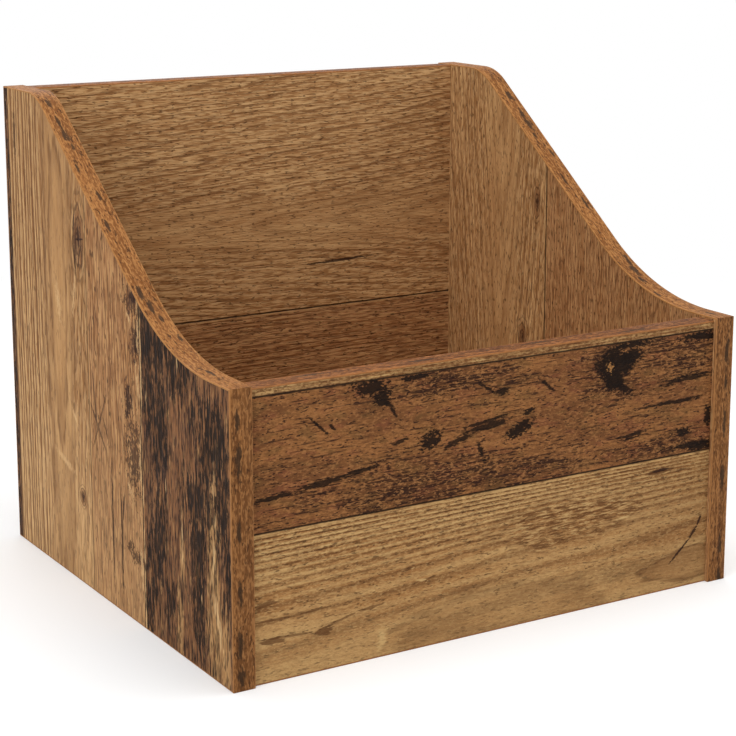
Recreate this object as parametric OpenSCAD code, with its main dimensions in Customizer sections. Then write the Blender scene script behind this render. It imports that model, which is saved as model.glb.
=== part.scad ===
// Record storage stand: an open-topped box of wood-decor board for standing 12-inch records.
// Two side panels sweep down from a tall back to a low front. A front panel, a back panel
// and a raised bottom panel stand between them on dowels and locked cam fittings.
//
// Frame: origin on the floor under the middle of the stand, +X to the right, +Y to the back,
// +Z up. All sizes are in millimetres. The stand is the same left and right.

/* [Stand] */
// Width over the two side panels
stand_w = 380; // [350:1:600]
// Depth of the side panels, front edge to rear edge
stand_d = 340; // [300:1:420]
// Height of the side panels at the back
stand_h = 330; // [290:1:400]
// Thickness of every board
board_t = 15; // [15:0.5:19]

/* [Side panel outline] */
// Height of the side panels at their front edge
front_h = 185; // [160:1:230]
// Flat at the top, from the rear edge to the start of the shoulder
rear_flat = 45; // [20:1:70]
// Radius of the shoulder where the top turns down
shoulder_r = 45; // [15:1:80]
// Radius of the hollow sweep that runs out towards the front
sweep_r = 175; // [80:1:230]
// Flat at the front, from the end of the sweep to the front edge
front_flat = 25; // [10:1:50]

/* [Panels between the sides] */
// How far the front panel stands back from the side panels' front edges
front_inset = 3; // [1:0.5:10]
// How far the back panel stands in from the side panels' rear edges
back_inset = 3; // [2:0.5:10]
// How far the front panel ends below the side panels' front corners
front_drop = 2; // [0:0.5:10]
// How far the back panel ends below the side panels' top
back_drop = 0.5; // [0:0.5:10]
// Space between the floor and the bottom panel
floor_gap = 10; // [4:0.5:30]

/* [Edge bands] */
// Thickness of the edge bands
band_t = 1; // [0.5:0.1:2]

/* [Joint layout] */
// From the end of a panel to its outermost dowel
fix_end = 28; // [20:1:32]
// From a dowel to the cam fitting beside it
fix_pitch = 32; // [26:1:34]
// From the butting edge of a panel to the middle of a cam
cam_setback = 24; // [22:0.5:34]

/* [Cam locks] */
// Diameter of a cam lock
cam_d = 15; // [14:0.5:20]
// Depth of the cam lock below the axis of its bolt
cam_below = 5; // [4.6:0.1:6]
// How far a cam lock lies below the face of its panel
cam_sink = 0.5; // [0.2:0.1:1]
// Arc that the cam turns through from open to locked
cam_turn = 120; // [90:5:150]
// Width of each bar of the cross-shaped key recess
key_w = 1.8; // [1:0.1:3]
// Length of each bar of the key recess
key_len = 9; // [5:0.5:10]
// Depth of the key recess
key_depth = 2.4; // [1:0.1:2.8]

/* [Cam bolts] */
// Diameter of the thread that is driven into the side panel
thread_d = 5; // [4:0.1:6]
// Length of that thread
thread_len = 11; // [8:0.5:12]
// Rise of one turn of the thread
thread_rise = 1.5; // [1:0.1:2.5]
// Depth of one turn of the thread
thread_depth = 0.6; // [0.3:0.1:1]
// Diameter of the collar that stops on the side panel
collar_d = 7.4; // [6.5:0.1:7.6]
// Thickness of the collar
collar_t = 1.5; // [1:0.1:3]
// Diameter of the shaft
shaft_d = 6; // [5:0.1:7]
// Diameter of the neck behind the head
neck_d = 4.4; // [3:0.1:5]
// Diameter of the head that the cam pulls on
head_d = 7; // [5.5:0.1:7.2]
// Thickness of the head
head_t = 3; // [2:0.1:4]
// From the middle of the cam to the pulled side of the head
head_reach = 3.3; // [2.5:0.1:4]

/* [Dowels] */
// Diameter of a dowel
dowel_d = 8; // [6:0.5:9]
// Length of a dowel
dowel_len = 30; // [25:1:35]
// Length of a dowel that stands in the face of a panel
dowel_in_face = 10; // [8:0.5:11]
// Chamfer at both ends of a dowel
dowel_chamfer = 1; // [0.5:0.1:2]

/* [Cover caps] */
// Diameter of the cover cap over a cam lock
cap_d = 18; // [17:0.5:22]
// Height of the cap above the panel
cap_t = 1.5; // [1:0.1:2]
// Chamfer around the cap
cap_chamfer = 0.6; // [0.2:0.1:0.9]
// Diameter of the peg that holds the cap in the cam
peg_d = 3.6; // [2.5:0.1:4]

/* [Clearances] */
// Gap around a dowel, cam, thread or peg in its bore, on the radius
fit_gap = 0.1; // [0.05:0.05:0.3]
// Free depth at the end of a dowel or thread
end_gap = 0.5; // [0.2:0.1:1]
// Gap around the bolt's neck and head in the cam, on the radius
cam_gap = 0.2; // [0.1:0.05:0.3]
// Diameter of the bore that takes the bolt in the edge of a panel
bolt_bore_d = 8; // [7.8:0.1:9]

/* [Hidden] */
// How far a cutting shape runs past the face that it cuts
over = 1;

// Faces of the panels
side_x = stand_w/2;
inner_x = side_x - board_t;
front_y = -stand_d/2 + front_inset;
back_y = stand_d/2 - back_inset;
bay_front_y = front_y + board_t;
bay_back_y = back_y - board_t;
front_top = front_h - front_drop;
back_top = stand_h - back_drop;

// Mid-planes of the panels, which carry the dowels and bolts
front_mid_y = front_y + board_t/2;
back_mid_y = back_y - board_t/2;
bottom_mid_z = floor_gap + board_t/2;

// Side outline: the straight between shoulder and sweep touches both arcs.
// Each arc turns through the same angle, from level to the slope of the straight.
shoulder_c = [stand_d/2 - rear_flat, stand_h - shoulder_r];
sweep_c = [-stand_d/2 + front_flat, front_h + sweep_r];
centre_step = shoulder_c - sweep_c;
slope = atan2(centre_step.y, centre_step.x) + asin((shoulder_r + sweep_r)/norm(centre_step));

// Cam lock
cam_h = cam_below + board_t/2 - cam_sink;
cam_hole_d = cam_d + 2*fit_gap;
pocket_r = norm([head_reach, head_d/2]) + cam_gap;
pocket_half_h = head_d/2 + cam_gap;
slot_half_h = neck_d/2 + cam_gap;

// Dowels and bolts
dowel_bore_d = dowel_d + 2*fit_gap;
dowel_in_edge = dowel_len - dowel_in_face;
pilot_d = thread_d + 2*fit_gap;
thread_turns = floor(thread_len/thread_rise) - 1;

// Colours
side_colour = [0.66, 0.49, 0.32];
front_colour = [0.47, 0.33, 0.23];
band_colour = [0.70, 0.44, 0.24];
zinc_colour = [0.72, 0.72, 0.72];
steel_colour = [0.80, 0.78, 0.70];
dowel_colour = [0.86, 0.72, 0.52];
cap_colour = [0.45, 0.28, 0.16];

SIDES = ["left", "right"];
JOINTS = ["front", "back", "bottom"];
SIDE_BANDS = ["top", "front", "rear", "bottom"];
PANEL_BANDS = ["top", "bottom"];

$fn = 48;

// Where the dowels and the cams of a joint stand, along the edge of its panel
function both_ends(low, high, from_end) = [low + from_end, high - from_end];
function joint_low(joint) = joint == "bottom" ? bay_front_y : 0;
function joint_high(joint) = joint == "bottom" ? bay_back_y : joint == "front" ? front_top : back_top;
function cam_places(joint) = both_ends(joint_low(joint), joint_high(joint), fix_end + fix_pitch);
function dowel_places(joint) = concat(
    both_ends(joint_low(joint), joint_high(joint), fix_end),
    joint == "back" ? [back_top/2] : []
);

// Draws in the frame of one fastener: its origin where the fastener's axis meets the inner face
// of the right side panel, +X into that panel and +Z towards the face that the cam opens on.
module at_places(joint, places) {
    for (place = places)
        translate(joint == "bottom" ? [inner_x, place, bottom_mid_z]
                  : [inner_x, joint == "front" ? front_mid_y : back_mid_y, place])
            rotate([joint == "bottom" ? 180 : -90, 0, 0])
                children();
}

// Draws the right-hand one, or its mirror image on the left
module on_side(side) {
    if (side == "left")
        mirror([1, 0, 0])
            children();
    else
        children();
}

// The dowels that join the bottom panel to the front or back panel
module at_bottom_ends(panel) {
    for (side = SIDES)
        on_side(side)
            translate([inner_x - fix_end - fix_pitch, panel == "front" ? bay_front_y : bay_back_y, bottom_mid_z])
                rotate([0, 0, panel == "front" ? -90 : 90])
                    children();
}

// ---- Bores ----

// Along +X from x = from to x = to
module bore(d, from, to) {
    translate([from, 0, 0])
        rotate([0, 90, 0])
            cylinder(d = d, h = to - from);
}

module dowel_bore_in_face() {
    bore(dowel_bore_d, -over, dowel_in_face + end_gap);
}

module dowel_bore_in_edge() {
    bore(dowel_bore_d, -dowel_in_edge - end_gap, over);
}

module pilot_bore() {
    bore(pilot_d, -over, thread_len + end_gap);
}

module cam_bores() {
    bore(bolt_bore_d, -cam_setback, over);
    translate([-cam_setback, 0, -cam_below])
        cylinder(d = cam_hole_d, h = cam_below + board_t/2 + over);
}

// What the joint takes out of the panel that butts against the side panels
module panel_bores(joint) {
    for (side = SIDES)
        on_side(side) {
            at_places(joint, cam_places(joint))
                cam_bores();
            at_places(joint, dowel_places(joint))
                dowel_bore_in_edge();
        }
}

// What the three joints take out of the right side panel
module side_bores() {
    for (joint = JOINTS) {
        at_places(joint, cam_places(joint))
            pilot_bore();
        at_places(joint, dowel_places(joint))
            dowel_bore_in_face();
    }
}

// ---- Side panels and their edge bands ----

// Points on the two arcs, drawn in by curve_in, at an angle from level
function on_shoulder(angle, curve_in) =
    shoulder_c + (shoulder_r - curve_in)*[-sin(angle), cos(angle)];
function on_sweep(angle, curve_in) =
    sweep_c + (sweep_r + curve_in)*[sin(angle), -cos(angle)];

// Outline of a side panel in Y and Z, with its curved top drawn in by curve_in
// and its three straight edges drawn in by edge_in
module side_outline(curve_in, edge_in) {
    rear = stand_d/2 - edge_in;
    front = -stand_d/2 + edge_in;
    top_z = stand_h - curve_in;
    // where the top flat and the straight would meet
    corner = [shoulder_c.x - (shoulder_r - curve_in)*tan(slope/2), top_z];
    difference() {
        union() {
            polygon([
                [rear, edge_in],
                [rear, top_z],
                on_shoulder(0, curve_in),
                on_shoulder(slope, curve_in),
                on_sweep(slope, curve_in),
                on_sweep(0, curve_in),
                [front, front_h - curve_in],
                [front, edge_in]
            ]);
            intersection() {
                translate(shoulder_c)
                    circle(r = shoulder_r - curve_in, $fn = 180);
                polygon([shoulder_c, on_shoulder(0, curve_in), corner, on_shoulder(slope, curve_in)]);
            }
        }
        translate(sweep_c)
            circle(r = sweep_r + curve_in, $fn = 360);
    }
}

// Stands an outline drawn in Y and Z upright, as thick as the right side panel
module as_side_board() {
    translate([inner_x, 0, 0])
        rotate([90, 0, 90])
            linear_extrude(board_t)
                children();
}

module side_panel(side) {
    color(side_colour)
        on_side(side)
            difference() {
                as_side_board()
                    side_outline(band_t, band_t);
                side_bores();
            }
}

module side_edge_band(side, band) {
    color(band_colour)
        on_side(side) {
            if (band == "top")
                as_side_board()
                    difference() {
                        side_outline(0, band_t);
                        side_outline(band_t, -over);
                    }
            if (band == "front")
                translate([inner_x, -stand_d/2, 0])
                    cube([board_t, band_t, front_h]);
            if (band == "rear")
                translate([inner_x, stand_d/2 - band_t, 0])
                    cube([board_t, band_t, stand_h]);
            if (band == "bottom")
                translate([inner_x, -stand_d/2 + band_t, 0])
                    cube([board_t, stand_d - 2*band_t, band_t]);
        }
}

// ---- Front, back and bottom panels ----

// A board across the whole width between the sides, from its lowest corner in Y and Z
module cross_board(y, z, depth, height) {
    translate([-inner_x, y, z])
        cube([2*inner_x, depth, height]);
}

module front_panel() {
    color(front_colour)
        difference() {
            cross_board(front_y, band_t, board_t, front_top - 2*band_t);
            panel_bores("front");
            at_bottom_ends("front")
                dowel_bore_in_face();
        }
}

module back_panel() {
    color(side_colour)
        difference() {
            cross_board(bay_back_y, band_t, board_t, back_top - 2*band_t);
            panel_bores("back");
            at_bottom_ends("back")
                dowel_bore_in_face();
        }
}

module bottom_panel() {
    color(side_colour)
        difference() {
            cross_board(bay_front_y, floor_gap, bay_back_y - bay_front_y, board_t);
            panel_bores("bottom");
            for (panel = ["front", "back"])
                at_bottom_ends(panel)
                    dowel_bore_in_edge();
        }
}

module panel_edge_band(panel, band) {
    top = panel == "front" ? front_top : back_top;
    color(band_colour)
        cross_board(panel == "front" ? front_y : bay_back_y, band == "top" ? top - band_t : 0, board_t, band_t);
}

// ---- Fasteners ----

// Opening in the cam's wall: a hole where the bolt's head enters, and a slot for its neck
// from there round to the locked bolt
module cam_slot() {
    neck_angle = asin(slot_half_h/pocket_r);
    rotate([0, 0, -neck_angle])
        rotate_extrude(angle = cam_turn + neck_angle)
            translate([pocket_r/2, -slot_half_h])
                square([cam_d, 2*slot_half_h]);
    rotate([0, 0, cam_turn])
        bore(head_d + cam_gap, 0, cam_d);
}

module cam_lock() {
    color(zinc_colour)
        translate([-cam_setback, 0, 0])
            difference() {
                translate([0, 0, -cam_below])
                    cylinder(d = cam_d, h = cam_h);
                translate([0, 0, -pocket_half_h])
                    cylinder(r = pocket_r, h = 2*pocket_half_h);
                cam_slot();
                translate([0, 0, cam_h - cam_below - key_depth]) {
                    for (angle = [45, 135])
                        rotate([0, 0, angle])
                            translate([-key_len/2, -key_w/2, 0])
                                cube([key_len, key_w, key_depth + over]);
                    cylinder(d = peg_d + 2*fit_gap, h = key_depth + over);
                }
            }
}

// Half section of the bolt: radius, then distance into the side panel
function thread_points() = [
    for (turn = [0 : thread_turns - 1])
        for (point = [[thread_d/2, 0.3], [thread_d/2 - thread_depth, 0.8]])
            [point.x, end_gap + (turn + point.y)*thread_rise]
];

module cam_bolt() {
    head_x = -cam_setback + head_reach;
    shaft_end = -cam_setback + cam_d/2 + over;
    core_r = thread_d/2 - thread_depth;
    color(steel_colour)
        rotate([0, 90, 0])
            rotate_extrude()
                polygon(concat(
                    [
                        [0, head_x - head_t],
                        [neck_d/2, head_x - head_t],
                        [head_d/2, head_x - head_t/3],
                        [head_d/2, head_x],
                        [neck_d/2, head_x],
                        [neck_d/2, shaft_end],
                        [shaft_d/2, shaft_end],
                        [shaft_d/2, -collar_t],
                        [collar_d/2, -collar_t],
                        [collar_d/2, 0],
                        [core_r, 0]
                    ],
                    thread_points(),
                    [[core_r/2, thread_len], [0, thread_len]]
                ));
}

module dowel() {
    r = dowel_d/2;
    color(dowel_colour)
        rotate([0, 90, 0])
            rotate_extrude()
                polygon([
                    [0, -dowel_in_edge],
                    [r - dowel_chamfer, -dowel_in_edge],
                    [r, -dowel_in_edge + dowel_chamfer],
                    [r, dowel_in_face - dowel_chamfer],
                    [r - dowel_chamfer, dowel_in_face],
                    [0, dowel_in_face]
                ]);
}

module cover_cap() {
    color(cap_colour)
        translate([-cam_setback, 0, board_t/2])
            rotate_extrude()
                polygon([
                    [0, -cam_sink - key_depth + fit_gap],
                    [peg_d/2, -cam_sink - key_depth + fit_gap],
                    [peg_d/2, 0],
                    [cap_d/2, 0],
                    [cap_d/2, cap_t - cap_chamfer],
                    [cap_d/2 - cap_chamfer, cap_t],
                    [0, cap_t]
                ]);
}

module cam_locks(joint, side) {
    on_side(side)
        at_places(joint, cam_places(joint))
            cam_lock();
}

module cam_bolts(joint, side) {
    on_side(side)
        at_places(joint, cam_places(joint))
            cam_bolt();
}

module dowels(joint, side) {
    on_side(side)
        at_places(joint, dowel_places(joint))
            dowel();
}

module cover_caps(joint, side) {
    on_side(side)
        at_places(joint, cam_places(joint))
            cover_cap();
}

module bottom_end_dowels(panel) {
    at_bottom_ends(panel)
        dowel();
}

// ---- Nodes ----

for (side = SIDES)
    side_panel(side);
front_panel();
back_panel();
bottom_panel();
for (side = SIDES, band = SIDE_BANDS)
    side_edge_band(side, band);
for (panel = ["front", "back"], band = PANEL_BANDS)
    panel_edge_band(panel, band);
for (joint = JOINTS, side = SIDES) {
    cam_locks(joint, side);
    cam_bolts(joint, side);
    dowels(joint, side);
}
for (joint = ["front", "back"], side = SIDES)
    cover_caps(joint, side);
for (panel = ["front", "back"])
    bottom_end_dowels(panel);
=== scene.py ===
import math

import bmesh
import bpy
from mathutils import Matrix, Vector


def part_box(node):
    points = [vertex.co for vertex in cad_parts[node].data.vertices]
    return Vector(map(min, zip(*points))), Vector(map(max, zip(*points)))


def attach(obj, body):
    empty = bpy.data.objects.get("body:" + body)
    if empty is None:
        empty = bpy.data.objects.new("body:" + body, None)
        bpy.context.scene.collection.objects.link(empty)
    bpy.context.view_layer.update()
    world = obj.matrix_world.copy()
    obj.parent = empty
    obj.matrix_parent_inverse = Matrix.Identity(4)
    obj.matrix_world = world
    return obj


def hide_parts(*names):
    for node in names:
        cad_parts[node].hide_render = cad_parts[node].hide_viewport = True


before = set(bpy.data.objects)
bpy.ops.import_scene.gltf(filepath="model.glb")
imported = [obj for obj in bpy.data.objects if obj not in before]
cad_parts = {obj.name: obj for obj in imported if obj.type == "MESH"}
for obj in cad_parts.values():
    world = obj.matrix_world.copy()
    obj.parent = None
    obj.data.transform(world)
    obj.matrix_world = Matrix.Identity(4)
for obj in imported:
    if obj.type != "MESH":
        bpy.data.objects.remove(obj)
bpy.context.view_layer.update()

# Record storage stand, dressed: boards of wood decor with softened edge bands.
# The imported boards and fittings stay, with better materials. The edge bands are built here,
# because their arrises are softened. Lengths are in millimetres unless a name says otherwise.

MM = 0.001


def new_object(name, data):
    """A new object of the scene."""
    made = bpy.data.objects.new(name, data)
    bpy.context.scene.collection.objects.link(made)
    return made


def box_mm(node):
    """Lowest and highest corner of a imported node, in millimetres."""
    low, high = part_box(node)
    return low / MM, high / MM


# ---- Sizes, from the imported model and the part's source ----

side_low, side_high = box_mm("right_side_panel")
front_low, front_high = box_mm("front_panel")
back_low, back_high = box_mm("back_panel")
floor_low, floor_high = box_mm("bottom_panel")
OUTER_X, INNER_X = side_high.x, side_low.x
BAND = 1.0
HALF_DEPTH = side_high.y + BAND
TOP_Z = side_high.z + BAND
FRONT_Z = box_mm("right_side_front_edge_band")[1].z
HALF_BOARD = (OUTER_X - INNER_X) / 2

# outline of the side panels, from the rear to the front
REAR_FLAT = 45
SHOULDER_R = 45
SWEEP_R = 175
FRONT_FLAT = 25
SHOULDER_STEPS = 24
SWEEP_STEPS = 48

# softened arrises of the edge bands
ARRIS = 0.5
ARRIS_STEPS = 3
SHARP_DEGREES = 35


# ---- Colours, as they show on screen, 0 to 255 ----

def srgb(red, green, blue):
    """The colour that a node needs in order to show this one on screen."""
    def linear(level):
        level = level / 255
        return level / 12.92 if level <= 0.04045 else ((level + 0.055) / 1.055) ** 2.4
    return (linear(red), linear(green), linear(blue), 1.0)


HONEY_PALE = srgb(193, 150, 101)
HONEY = srgb(176, 131, 85)
HONEY_DEEP = srgb(150, 106, 65)
HONEY_LINE = srgb(104, 66, 38)
# HONEY_LIT serves painted highlights beside rings and on seam lips, and also pale flakes, specks and
# lighter places
HONEY_LIT = srgb(214, 174, 124)
FLECK = srgb(66, 41, 26)
BISCUIT_PALE = srgb(181, 134, 90)
BISCUIT = srgb(164, 116, 74)
BISCUIT_DEEP = srgb(138, 92, 56)
BISCUIT_LINE = srgb(88, 53, 32)
STRAW_PALE = srgb(199, 158, 104)
STRAW = srgb(169, 123, 75)
STRAW_DEEP = srgb(145, 99, 58)
STRAW_LINE = srgb(88, 53, 29)
# STRAW_LIT serves painted highlights beside rings, and also pale specks, flakes and lighter places
STRAW_LIT = srgb(210, 174, 118)
UMBER = srgb(80, 53, 38)
COCOA = srgb(120, 82, 56)
SOOT = srgb(29, 20, 15)
WORN_TAN = srgb(182, 140, 92)
RUSSET = srgb(147, 98, 57)
RUSSET_PALE = srgb(172, 120, 74)
RUSSET_DEEP = srgb(118, 76, 45)
RUSSET_GREEN = srgb(110, 80, 46)
RUSSET_RED = srgb(130, 76, 52)
PLUM = srgb(50, 30, 23)
KNOT_RED = srgb(112, 68, 44)
# AMBER colours are the CHESTNUT band colours made lighter: painted light for the top bands.
# AMBER_DEEP also tints the caps, and AMBER_PALE a flake on the front
AMBER = srgb(154, 103, 58)
AMBER_PALE = srgb(178, 126, 74)
AMBER_DEEP = srgb(118, 73, 37)
CHESTNUT = srgb(146, 98, 56)
CHESTNUT_PALE = srgb(168, 118, 72)
CHESTNUT_DEEP = srgb(106, 67, 37)
MAHOGANY = srgb(132, 82, 45)
MAHOGANY_PALE = srgb(168, 112, 66)
MAHOGANY_DEEP = srgb(80, 46, 25)
BAND_SPOT = srgb(60, 44, 31)
CHIP_PALE = srgb(206, 176, 132)
CHIP_DARK = srgb(150, 112, 74)
CAP_BROWN = srgb(122, 78, 48)
CAP_BROWN_PALE = srgb(140, 92, 58)
ZINC = srgb(150, 152, 154)
ZINC_PALE = srgb(190, 191, 192)
ZINC_PIT = srgb(104, 106, 108)
STEEL = srgb(196, 186, 150)
STEEL_PALE = srgb(212, 208, 196)
STEEL_MARK = srgb(150, 140, 112)
BEECH = srgb(214, 178, 132)
BEECH_PALE = srgb(226, 194, 150)
BEECH_RAY = srgb(168, 122, 80)


# ---- Node graphs ----

GLOSS = 0.05             # specular level of every material
# for each axis, how far one seed lies from the next in the noise, and the room that they share
SEED_PLACES = ((13.7, 97), (7.3, 89), (3.1, 83))


class Value:
    """A number or colour inside a node graph, so that sums read as sums."""

    def __init__(self, graph, socket):
        self.graph, self.socket = graph, socket

    def __add__(self, other):
        return self.graph.math("ADD", self, other)

    def __radd__(self, other):
        return self.graph.math("ADD", other, self)

    def __sub__(self, other):
        return self.graph.math("SUBTRACT", self, other)

    def __rsub__(self, other):
        return self.graph.math("SUBTRACT", other, self)

    def __mul__(self, other):
        return self.graph.math("MULTIPLY", self, other)

    def __rmul__(self, other):
        return self.graph.math("MULTIPLY", other, self)

    def __truediv__(self, other):
        return self.graph.math("DIVIDE", self, other)


class Graph:
    """One material's nodes. A place on the piece is (across the grain, along it, through it).
    A node is made after those that it reads, which keeps the compiled material small."""

    def __init__(self, name, axes="YZX", attribute=None):
        self.material = bpy.data.materials.new(name)
        self.material.use_nodes = True
        self.tree = self.material.node_tree
        self.tree.nodes.clear()
        split, join = self.node("ShaderNodeSeparateXYZ"), self.node("ShaderNodeCombineXYZ")
        if attribute:
            source, unit = self.node("ShaderNodeAttribute", attribute_name=attribute), 1
            self.set(split.inputs[0], source.outputs["Vector"])
        else:
            source, unit = self.node("ShaderNodeTexCoord"), 1 / MM
            self.set(split.inputs[0], source.outputs["Object"])
        parts = [Value(self, split.outputs[axis]) * unit for axis in axes]
        for i in range(3):
            self.set(join.inputs[i], parts[i])
        self.across, self.along, self.through = parts
        # The mapping node is here for its kind of output, which the textures take as it is. A
        # conversion on every link would make the compiled material too big.
        place = self.node("ShaderNodeMapping")
        self.set(place.inputs[0], join.outputs[0])
        self.place = place.outputs[0]

    def node(self, kind, **settings):
        """Adds a node and gives it its settings."""
        made = self.tree.nodes.new(kind)
        for name, value in settings.items():
            setattr(made, name, value)
        return made

    def set(self, socket, value):
        """Links a value to a socket, or writes a plain number or colour into it."""
        if isinstance(value, Value):
            value = value.socket
        if isinstance(value, bpy.types.NodeSocket):
            self.tree.links.new(value, socket)
        else:
            socket.default_value = value

    def math(self, operation, *values):
        """One operation, such as ADD or SQRT, on one or two values."""
        made = self.node("ShaderNodeMath", operation=operation)
        for socket, value in zip(made.inputs, values):
            self.set(socket, value)
        return Value(self, made.outputs[0])

    def sine(self, turns):
        """-1 to 1, once round for each whole turn."""
        return self.math("SINE", turns * math.tau)

    def step(self, value, low, high):
        """0 at low, 1 at high, and smooth between them. Falls instead where high is below low."""
        made = self.node("ShaderNodeMapRange", interpolation_type="SMOOTHSTEP", clamp=False)
        for name, setting in (("Value", value), ("From Min", low), ("From Max", high)):
            self.set(made.inputs[name], setting)
        return Value(self, made.outputs[0])

    def mix(self, first, second, share):
        """The first colour, with a share of the second one."""
        made = self.node("ShaderNodeMix", data_type="RGBA")
        for i, value in ((0, share), (6, first), (7, second)):
            self.set(made.inputs[i], value)
        return Value(self, made.outputs[2])

    def moved(self, kind, at, turn, scale):
        """The place on the piece, moved, turned by degrees and scaled."""
        made = self.node("ShaderNodeMapping", vector_type=kind)
        self.set(made.inputs["Vector"], self.place)
        self.set(made.inputs["Location"], at)
        self.set(made.inputs["Rotation"], (0, 0, math.radians(turn)))
        self.set(made.inputs["Scale"], scale)
        return made.outputs[0]

    def noise(self, width, length, seed, detail=2.0, rough=0.5):
        """Soft random pattern around 0.5. Its features are so wide across and so long along."""
        at = tuple(seed * stride % room for stride, room in SEED_PLACES)
        place = self.moved("POINT", at, 0.0, (1 / width, 1 / length, 1 / width))
        made = self.node("ShaderNodeTexNoise", noise_dimensions="3D")
        self.set(made.inputs["Vector"], place)
        for name, value in (("Scale", 1.0), ("Detail", detail), ("Roughness", rough)):
            self.set(made.inputs[name], value)
        return Value(self, made.outputs[0])

    def marks(self, *marks):
        """How far a place is from the nearest mark: 1 on a mark's rim and 0 in its middle.
        A mark is (across, along, half its width, half its length, turn in degrees)."""
        nearest, reach, endless = None, 3.0, 1e6
        for across, along, half_across, half_along, turn in marks:
            size = (half_across * reach, half_along * reach, endless)
            place = self.moved("TEXTURE", (across, along, 0), turn, size)
            ball = self.node("ShaderNodeTexGradient", gradient_type="SPHERICAL")
            self.set(ball.inputs[0], place)
            near = Value(self, ball.outputs["Fac"])
            nearest = near if nearest is None else self.math("MAXIMUM", nearest, near)
        return reach - reach * nearest


def stroke(across, along, to_across, to_along, half_width):
    """The mark that a stroke makes: long and thin, from one place to another."""
    run = (to_across - across, to_along - along)
    return ((across + to_across) / 2, (along + to_along) / 2, half_width, math.hypot(*run) / 2,
            math.degrees(math.atan2(-run[0], run[1])))


class Surface:
    """The colour and relief of a face, built up in layers."""

    def __init__(self, graph, colour):
        self.graph, self.colour = graph, colour
        self.relief = 0.0

    def coat(self, mask, colour, share, depth=0.0):
        """Lays a share of a colour over the masked places, and sinks them."""
        self.colour = self.graph.mix(self.colour, colour, mask * share)
        if depth:
            self.relief = self.relief - mask * depth
        return self

    def joined(self, other, mask):
        """This face, with the other one where the mask is 1."""
        made = Surface(self.graph, self.graph.mix(self.colour, other.colour, mask))
        made.relief = self.relief + (other.relief - self.relief) * mask
        return made


def finish_material(graph, surface, rough, relief, metallic=0.0):
    """Ends the graph in a shader. relief scales the surface's own, which is in millimetres."""
    shader = graph.node("ShaderNodeBsdfPrincipled")
    bump = graph.node("ShaderNodeBump")
    output = graph.node("ShaderNodeOutputMaterial")
    for socket, value in (
        (shader.inputs["Base Color"], surface.colour),
        (shader.inputs["Roughness"], rough),
        (shader.inputs["Metallic"], metallic),
        (shader.inputs["Specular IOR Level"], GLOSS),
        (bump.inputs["Strength"], 1.0),
        (bump.inputs["Distance"], relief * MM),
        (bump.inputs["Height"], surface.relief),
        (shader.inputs["Normal"], bump.outputs[0]),
        (output.inputs["Surface"], shader.outputs[0]),
    ):
        graph.set(socket, value)
    return graph.material


# ---- Wood decors ----
# The outer faces of the side panels carry a coarser grain than the other light faces.

FINER = 0.66


def two_toned(g, noise, low, high, first, second):
    """A face of two colours: the first where a noise is below low, the second above high."""
    return Surface(g, g.mix(first, second, g.step(g.noise(*noise), low, high)))


def grit(surface, seed, width, dark, dark_share, pale, pale_share, stretch=2.6):
    """Fine specks, dark ones and pale ones, drawn out a little along the grain."""
    g = surface.graph
    speck = g.noise(width, width * stretch, seed, 1, 0.7)
    surface.coat(g.step(speck, 0.53, 0.62), dark, dark_share, 0.10)
    return surface.coat(g.step(speck, 0.47, 0.38), pale, pale_share, -0.05)


def fibres(surface, seed, width, colour, share, pores):
    """Long fibres, and short dark pores along them."""
    g = surface.graph
    surface.coat(g.step(g.noise(width, width * 15, seed, 2, 0.6), 0.52, 0.64), colour, share, 0.12)
    return surface.coat(g.step(g.noise(width, width * 4, seed + 1, 1, 0.6), 0.61, 0.69),
                        FLECK, pores, 0.25)


def growth_rings(surface, rings, seed, colour, share, thin, broken=2.0, least=0.25):
    """Late-wood lines, one for each whole turn of rings. They break up along the grain."""
    g = surface.graph
    ragged = (g.noise(1.5, 15, seed, 2, 0.6) - 0.5) * broken
    strength = g.step(g.noise(16, 80, seed + 1, 1), 0.34, 0.60)
    line = g.step(g.sine(rings) + ragged, thin, 0.95) * (strength * (1 - least) + least)
    return surface.coat(line, colour, share, 0.20)


def cathedral_board(g, seed, middle, coarse=1.0):
    """A honey-coloured board: pointed rings around its middle, straight ones beside them, and a
    painted highlight beside each ring.
    """
    # from one straight ring to the next, how blunt the points are, and from one point to the next
    spread, hollow, rise = 5.6, 11.0, 58.0
    surface = two_toned(g, (9, 130, seed, 2, 0.6), 0.36, 0.64, HONEY, HONEY_PALE)
    surface.coat(g.step(g.noise(22, 100, seed + 12, 2), 0.50, 0.68), HONEY_DEEP, 0.40)
    off = g.across - middle
    bow = g.math("SQRT", off * off + hollow * hollow) / spread
    warp = (g.noise(34, 150, seed + 2, 1) - 0.5) * 1.5
    uneven = (g.noise(7, 170, seed + 9, 1) - 0.5) * 1.5
    rings = g.along / rise - bow + warp + uneven
    surface.coat(g.step(g.sine(rings * 0.5 + 0.2), 0.1, 0.9), HONEY_DEEP, 0.35)
    busy = g.step(g.math("ABSOLUTE", off), 12, 30) * 0.6 + 0.4
    # painted highlight: a pale line beside each ring, as light catching embossed grain would make it
    surface.coat(g.step(g.sine(rings + 0.35), 0.45, 1.0), HONEY_LIT, busy * 0.36)
    growth_rings(surface, rings, seed + 3, HONEY_LINE, busy * 0.64, 0.30, 1.8, 0.40)
    grit(surface, seed + 7, 1.8 * coarse, HONEY_DEEP, busy * 0.85, HONEY_LIT, busy * 0.45, 8.0)
    return fibres(surface, seed + 5, 1.9 * coarse, HONEY_LINE, busy * (0.46 * coarse), 0.62)


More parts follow.
